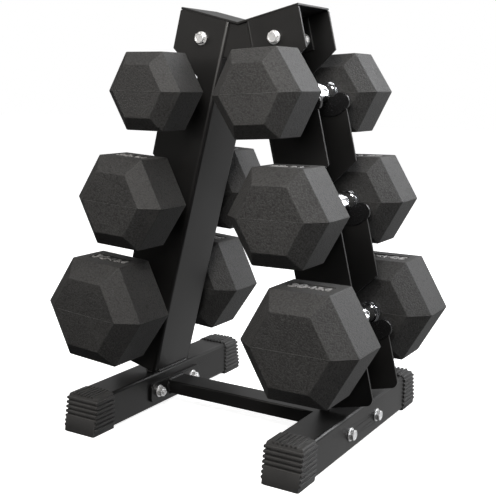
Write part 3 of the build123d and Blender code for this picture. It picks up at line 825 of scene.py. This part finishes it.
def marks(side, tier):
    """Raised numerals in the panels on top of both heads."""
    flats = HEAD_FLATS[side][tier] * MM
    length = head_length(side, tier)
    pounds, kilos = MARKS[side][tier]
    shape = Shape()
    for end in (-1, 1):
        middle = Matrix.Translation((0, end * (GRIP_HALF + length / 2),
                                     flats / 2 - PANEL_DEPTH + MARK_RAISED / 2))
        place = dumbbell_place(side, tier) @ middle
        if end > 0:
            place = place @ Matrix.Rotation(math.pi, 4, "Z")
        for text, height, x in ((pounds, POUNDS_HEIGHT, POUNDS_X), (kilos, KILOS_HEIGHT, KILOS_X)):
            points, faces = numeral_mesh(text, height * flats)
            at = Matrix.Translation((x * flats, 0, 0))
            shape.add(points, faces, place @ at, smooth=False)
        points, faces = raised_bar(DASH_SIZE[0] * flats, DASH_SIZE[1] * flats)
        at = Matrix.Translation((DASH_X * flats, 0, 0))
        shape.add(points, faces, place @ at, smooth=False)
    name = side + "_" + TIERS[tier] + "_weight_marks"
    shape.piece(name, "head_rubber", body_of_dumbbell(side, tier), look="mark_rubber")


SEAM_WIDTH = 0.9 * MM
SEAM_HEIGHT = 0.28 * MM
SEAM_STEPS = 150
SEAM_SIDES = 6
SEAM_WANDER = 0.45        # share by which its size varies
SEAM_WANDER_SCALE = 90.0  # and how many times a metre
SEAM_CLEAR = 17.0 * MM    # from the handle's axis to where the seam starts
FAR_OUT = 0.3             # where the rays that find the head's surface start


def seam_path(tree, middle, end, start_angle):
    """Points and outward normals round a head at mid height, in the rack's frame."""
    path = []
    for s in range(SEAM_STEPS + 1):
        angle = start_angle + (2 * math.pi - 2 * start_angle) * s / SEAM_STEPS
        # The angle is measured from the direction of the grip.
        way = middle.to_3x3() @ Vector((math.sin(angle), -end * math.cos(angle), 0))
        hit, normal, _, _ = tree.ray_cast(middle.translation + way * FAR_OUT, -way)
        if hit is not None:
            path.append((hit, normal))
    return path


def add_bead(shape, path, across):
    """A low ridge of round section that follows a path over a surface."""
    rows = []
    for at, normal in path:
        wander = 1.0 + SEAM_WANDER * noise.noise(at * SEAM_WANDER_SCALE)
        row = []
        for k in range(SEAM_SIDES):
            a = 2 * math.pi * k / SEAM_SIDES
            row.append(at + across * (SEAM_WIDTH / 2 * math.cos(a)) * wander
                       + normal * (SEAM_HEIGHT * math.sin(a) * wander))
        rows.append(row)
    points, faces = rings(rows)
    shape.add(points, faces)


def mesh_tree(node):
    """A CAD node's surface, ready for rays."""
    mesh = NODES[node].data
    points = [v.co.copy() for v in mesh.vertices]
    return BVHTree.FromPolygons(points, [list(p.vertices) for p in mesh.polygons])


def seams(side, tier):
    """The mould's parting line round both heads."""
    length = head_length(side, tier)
    shape = Shape()
    place = dumbbell_place(side, tier)
    across = place.to_3x3() @ Vector((0, 0, 1))
    for end, word in ((-1, "front"), (1, "rear")):
        tree = mesh_tree(side + "_" + TIERS[tier] + "_head_" + word)
        middle = place @ Matrix.Translation((0, end * (GRIP_HALF + length / 2), 0))
        start = math.atan2(SEAM_CLEAR, length / 2)
        add_bead(shape, seam_path(tree, middle, end, start), across)
    name = side + "_" + TIERS[tier] + "_mould_seams"
    shape.piece(name, "head_rubber", body_of_dumbbell(side, tier))


# ---- Weld beads -------------------------------------------------------------------------------
WELD_SHARP = 50           # degrees
ARC_POINTS = 7            # across a bead
ROWS_A_SCALLOP = 6
SCALLOP_LOW = 0.82        # size between two scallops, to the size in their middle
BEAD_WANDER = 0.10
BEAD_WANDER_SCALE = 60.0
BEAD_BULGE = 0.16
BEAD_TAPER = 2.5 * MM     # over this length at its ends a bead narrows
BEAD_END = 0.35
BEAD_ROOT = 0.4 * MM      # how far a bead reaches into the corner
BAR_LEG = 3.0 * MM
BAR_SCALLOP = 2.6 * MM
BAR_WELD_SHORT = 2.0 * MM # a bead ends this far before the bar's corners
WEB_SCALLOP = 3.4 * MM
WEB_WELD_SHORT = 8.0 * MM
INNER_LEG = 5.0 * MM
INNER_SET_BACK = 0.6 * MM
OUTER_LEG = 3.4 * MM
FLANGE_LEG = 2.6 * MM
FLANGE_SCALLOP = 3.0 * MM
# Along the foot from the back of the web, and above the foot tube.
FLANGE_BEAD = ((4.0 * MM, 0.8 * MM), (16.0 * MM, 2.6 * MM))
WEDGE_START = (4.5 * MM, 1.6 * MM)
WEDGE_END = (15.5 * MM, 4.2 * MM)
WEDGE_SUNK = 0.3 * MM
WEDGE_INNER = FLANGE_Y - 2.4 * MM
WEDGE_OUTER = FLANGE_Y + 1.4 * MM


def rippled_bead(shape, start, end, first, second, leg, pitch):
    """A weld in the corner between two directions, from start to end, laid in overlapping scallops.
    first and second are the directions from the corner along the two faces."""
    start, end = Vector(start), Vector(end)
    first, second = Vector(first).normalized(), Vector(second).normalized()
    along = end - start
    steps = max(8, int(along.length / pitch * ROWS_A_SCALLOP))
    rows = []
    for s in range(steps + 1):
        t = s / steps
        at = start + along * t
        phase = (t * along.length / pitch) % 1.0
        lump = SCALLOP_LOW + (1 - SCALLOP_LOW) * math.sin(math.pi * phase) ** 0.6
        wander = 1.0 + BEAD_WANDER * noise.noise(at * BEAD_WANDER_SCALE)
        taper = min(1.0, BEAD_END + min(t, 1 - t) * along.length / BEAD_TAPER)
        size = leg * lump * wander * taper
        row = [at - (first + second) * BEAD_ROOT]
        for k in range(ARC_POINTS):
            b = k / (ARC_POINTS - 1)
            flat = first * (1 - b) + second * b
            bulge = (first + second).normalized() * math.sin(math.pi * b) * BEAD_BULGE
            row.append(at + (flat + bulge) * size)
        rows.append(row)
    points, faces = rings(rows)
    shape.add(points, faces)


def crossbar_welds():
    """Four beads round each end of the crossbar, against its plates."""
    shape = Shape()
    for side in (-1, 1):
        face_x = side * (FOOT_X - TUBE_HALF - PLATE_THICKNESS)
        inward = (-side, 0, 0)
        for end in (-1, 1):
            z = BAR_Z + end * BAR_HEIGHT / 2
            reach = BAR_WIDTH / 2 - BAR_WELD_SHORT
            rippled_bead(shape, (face_x, -reach, z), (face_x, reach, z), inward, (0, 0, end),
                         BAR_LEG, BAR_SCALLOP)
            y = end * BAR_WIDTH / 2
            reach = BAR_HEIGHT / 2 - BAR_WELD_SHORT
            rippled_bead(shape, (face_x, y, BAR_Z - reach), (face_x, y, BAR_Z + reach), inward,
                         (0, end, 0), BAR_LEG, BAR_SCALLOP)
    made = shape.piece("rippled_crossbar_welds", "frame_paint", "rack", "crossbar_welds")
    sharp_by_angle(made, WELD_SHARP)


def add_wedge(shape, side, end):
    """The weld metal under a flange's lower end, which rises away from the foot."""
    (x_start, z_start), (x_end, z_end) = WEDGE_START, WEDGE_END
    rows = []
    for y in sorted((end * WEDGE_INNER, end * WEDGE_OUTER)):
        section = ((x_start, -WEDGE_SUNK), (x_end, -WEDGE_SUNK), (x_end, z_end),
                   (x_start, z_start))
        rows.append([(side * (UPRIGHT_X + x), y, TUBE_TOP + z) for x, z in section])
    points, faces = rings(rows)
    shape.add(points, faces, smooth=False)


def upright_welds():
    """Beads on both sides of each web and along the lower ends of its flanges."""
    reach = CHANNEL_HALF - WEB_WELD_SHORT
    inner_x = UPRIGHT_X + SHEET * math.cos(LEAN) - INNER_SET_BACK
    (x_start, z_start), (x_end, z_end) = FLANGE_BEAD
    for side_name, side in SIDES.items():
        shape = Shape()
        up = (-side * math.sin(LEAN), 0, math.cos(LEAN))
        rippled_bead(shape, (side * inner_x, -reach, TUBE_TOP), (side * inner_x, reach, TUBE_TOP),
                     (side, 0, 0), up, INNER_LEG, WEB_SCALLOP)
        # Outside the web the upright leans over the foot.
        rippled_bead(shape, (side * UPRIGHT_X, -reach, TUBE_TOP),
                     (side * UPRIGHT_X, reach, TUBE_TOP), (-side, 0, 0), up, OUTER_LEG, WEB_SCALLOP)
        for end in (-1, 1):
            y = end * CHANNEL_HALF
            rippled_bead(shape, (side * (UPRIGHT_X + x_start), y, TUBE_TOP + z_start),
                         (side * (UPRIGHT_X + x_end), y, TUBE_TOP + z_end),
                         (0, end, 0), (0, 0, 1), FLANGE_LEG, FLANGE_SCALLOP)
            add_wedge(shape, side, end)
        name = side_name + "_upright_welds"
        made = shape.piece("rippled_" + name, "frame_paint", "rack", name)
        sharp_by_angle(made, WELD_SHARP)


# ---- Foot caps --------------------------------------------------------------------------------
CAP_SHARP = 35            # degrees
CAP_HALF = 27.5 * MM
CAP_HEIGHT = 2 * CAP_HALF
CAP_START = 144.5 * MM
CAP_END = 180.5 * MM
CAP_FLARE = 9.0 * MM
CAP_TOP_CORNER = 4.5 * MM
CAP_FOOT_CORNER = 1.2 * MM
CAP_LEAST_CORNER = 0.4 * MM
CORNER_POINTS = 5
END_WALL = 4.0 * MM
SLEEVE_INNER = 25.05 * MM
SLEEVE_LOW = 2.2 * MM
SLEEVE_HIGH = 52.8 * MM
SLEEVE_CORNER = 4.0 * MM
RIB_PITCH = 6.2 * MM
RIB_WIDTH = 3.4 * MM
RIB_HEIGHT = 2.0 * MM
RIB_ROOT = 0.8 * MM       # how far a rib reaches into the sleeve
RIB_EASE = 0.55 * MM
RIB_SHORT = 0.8 * MM      # ribs stop this far before the end face's outermost plane
TOP_RIBS = 6
SIDE_RIBS = 7
PLAIN_RIBS = 3            # the lowest side ribs don't run across the end face
LOWEST_RIB = 9.1 * MM
PLAIN_TOP = 23.4 * MM     # the end face's plain lower part
PLAIN_MIDDLE_UP = 0.4 * MM
PLAIN_NARROWER = 0.8 * MM
RIB_SIDE_PLAY = 0.2 * MM


def end_face_y(z):
    """The cap's end face stands out more towards the floor."""
    return CAP_END + CAP_FLARE * (1 - z / CAP_HEIGHT)


def rounded_outline(half_x, low, high, radius, foot_radius, inset=0.0):
    """Corners of an upright rounded rectangle in (x, z), inset all round but underneath."""
    corners = []
    half_x, high = half_x - inset, high - inset
    radius = max(radius - inset, CAP_LEAST_CORNER)
    for quarter, r in enumerate((radius, radius, foot_radius, foot_radius)):
        way_x = 1 if quarter in (0, 3) else -1
        cx = way_x * (half_x - r)
        cz = high - r if quarter < 2 else low + r
        for k in range(CORNER_POINTS):
            a = math.pi / 2 * (quarter + k / (CORNER_POINTS - 1))
            corners.append((cx + r * math.cos(a), cz + r * math.sin(a)))
    return corners


def rib(shape, place, start, end, out, along, up, width=RIB_WIDTH):
    """A rib with eased edges: out is the way it stands, along its run, up its width."""
    start, end = Vector(start), Vector(end)
    out, along, up = Vector(out), Vector(along), Vector(up)
    half = width / 2
    soft = 0.3 * RIB_EASE
    profile = [(-half, -RIB_ROOT), (-half, RIB_HEIGHT - RIB_EASE),
               (-half + soft, RIB_HEIGHT - soft), (-half + RIB_EASE, RIB_HEIGHT),
               (half - RIB_EASE, RIB_HEIGHT), (half - soft, RIB_HEIGHT - soft),
               (half, RIB_HEIGHT - RIB_EASE), (half, -RIB_ROOT)]
    # Each section, in widths of the eased edge: how far in from the rib's end, and how much
    # lower than the rib's middle.
    run_out = [(0.0, 1.0), (0.5, 0.2), (1.4, 0.0)]
    sections = [(start + along * RIB_EASE * back, RIB_EASE * low) for back, low in run_out]
    sections += [(end - along * RIB_EASE * back, RIB_EASE * low) for back, low in run_out[::-1]]
    rows = []
    for at, sink in sections:
        rows.append([at + up * w + out * (h - (sink if h > 0 else 0)) for w, h in profile])
    points, faces = rings(rows)
    shape.add(points, faces, place)


def add_sleeve(shape, place):
    """The cap without its ribs: pocket for the tube, mouth, outside and end face."""
    pocket = rounded_outline(SLEEVE_INNER, SLEEVE_LOW, SLEEVE_HIGH, SLEEVE_CORNER, SLEEVE_CORNER)
    rows = [[(x, CAP_END - END_WALL, z) for x, z in pocket],
            [(x, CAP_START, z) for x, z in pocket]]
    # Each outline: inset beyond the ribs' height, and its place from the mouth or the end face.
    for inset, from_mouth, from_end in ((0.4 * MM, 0.0, None), (0.0, 0.6 * MM, None),
                                        (0.0, None, 2.0 * MM), (0.5 * MM, None, 0.6 * MM),
                                        (1.9 * MM, None, 0.0), (12.0 * MM, None, 0.0)):
        row = []
        for x, z in rounded_outline(CAP_HALF, 0.0, CAP_HEIGHT, CAP_TOP_CORNER, CAP_FOOT_CORNER,
                                    RIB_HEIGHT + inset):
            if from_end is None:
                row.append((x, CAP_START + from_mouth, z))
            else:
                row.append((x, end_face_y(z) - RIB_HEIGHT - from_end, z))
        rows.append(row)
    points, faces = rings(rows)
    shape.add(points, faces, place)


def cap(side, end):
    """A sleeve over the end of a foot tube, with raised ribs on its top, sides and end."""
    shape = Shape()
    place = Matrix.Translation((side * FOOT_X, 0, 0)) @ Matrix.Diagonal((1, end, 1, 1))
    add_sleeve(shape, place)
    for index in range(TOP_RIBS):
        x = (index - (TOP_RIBS - 1) / 2) * RIB_PITCH
        z = CAP_HEIGHT - RIB_HEIGHT
        rib(shape, place, (x, CAP_START, z), (x, CAP_END - RIB_SHORT, z),
            (0, 0, 1), (0, 1, 0), (1, 0, 0))
    across = []
    for index in range(SIDE_RIBS):
        z = LOWEST_RIB + index * RIB_PITCH
        for way in (-1, 1):
            x = way * (CAP_HALF - RIB_HEIGHT)
            rib(shape, place, (x, CAP_START, z), (x, end_face_y(z) - RIB_SHORT, z),
                (way, 0, 0), (0, 1, 0), (0, 0, 1))
        if index >= PLAIN_RIBS:
            across.append((z, RIB_WIDTH))
    # The lower part of the end face is plain and stands as high as the ribs.
    across.append((PLAIN_TOP / 2 + PLAIN_MIDDLE_UP, PLAIN_TOP - PLAIN_NARROWER))
    up = Vector((0, -CAP_FLARE / CAP_HEIGHT, 1)).normalized()
    out = Vector((0, 1, CAP_FLARE / CAP_HEIGHT)).normalized()
    reach = CAP_HALF - RIB_HEIGHT - RIB_SIDE_PLAY
    for z, width in across:
        y = end_face_y(z) - RIB_HEIGHT
        rib(shape, place, (-reach, y, z), (reach, y, z), out, (1, 0, 0), up, width)
    return shape


def caps():
    """The four foot caps with deeper ribs."""
    for side_name, side in SIDES.items():
        for end, word in ((-1, "front"), (1, "rear")):
            node = side_name + "_" + word + "_cap"
            made = cap(side, end).piece("ribbed_" + node, "cap_plastic", "rack", node)
            sharp_by_angle(made, CAP_SHARP)


# ---- CAD nodes that stay ----------------------------------------------------------------------
def material_slot_of(node):
    """The finish of a CAD node, from what it is."""
    endings = {"_cap": "cap_plastic", "_saddles": "saddle_plastic", "_head_front": "head_rubber",
               "_head_rear": "head_rubber", "_cores": "core_iron", "_handle": "handle_chrome",
               "_bolts": "zinc", "_nuts": "zinc", "_washers": "zinc"}
    for ending, slot in endings.items():
        if node.endswith(ending):
            return slot
    return "frame_paint"


EASED = {"frame_paint": 0.7 * MM, "saddle_plastic": 0.6 * MM, "cap_plastic": 0.35 * MM}
EASED_SHARPER_THAN = math.radians(40)
CAD_SEWN = 0.01 * MM


def finish_cad_nodes():
    """A finish for every CAD node, and eased edges where sheet and mouldings are square in CAD."""
    for node, thing in NODES.items():
        slot = material_slot_of(node)
        if not thing.material_slots:
            thing.data.materials.append(MATERIALS[slot])
        for material_slot in thing.material_slots:
            material_slot.material = MATERIALS[slot]
        if slot in EASED and not thing.hide_render:
            weld = thing.modifiers.new("weld", "WELD")
            weld.merge_threshold = CAD_SEWN
            ease = thing.modifiers.new("eased_edges", "BEVEL")
            ease.width = EASED[slot]
            ease.segments = 2
            ease.limit_method = "ANGLE"
            ease.angle_limit = EASED_SHARPER_THAN
            ease.harden_normals = True


camera()
studio()
floor()
fasteners()
for side_name in SIDES:
    for tier_index in range(len(TIERS)):
        handle(side_name, tier_index)
        marks(side_name, tier_index)
        seams(side_name, tier_index)
crossbar_welds()
upright_welds()
caps()
finish_cad_nodes()
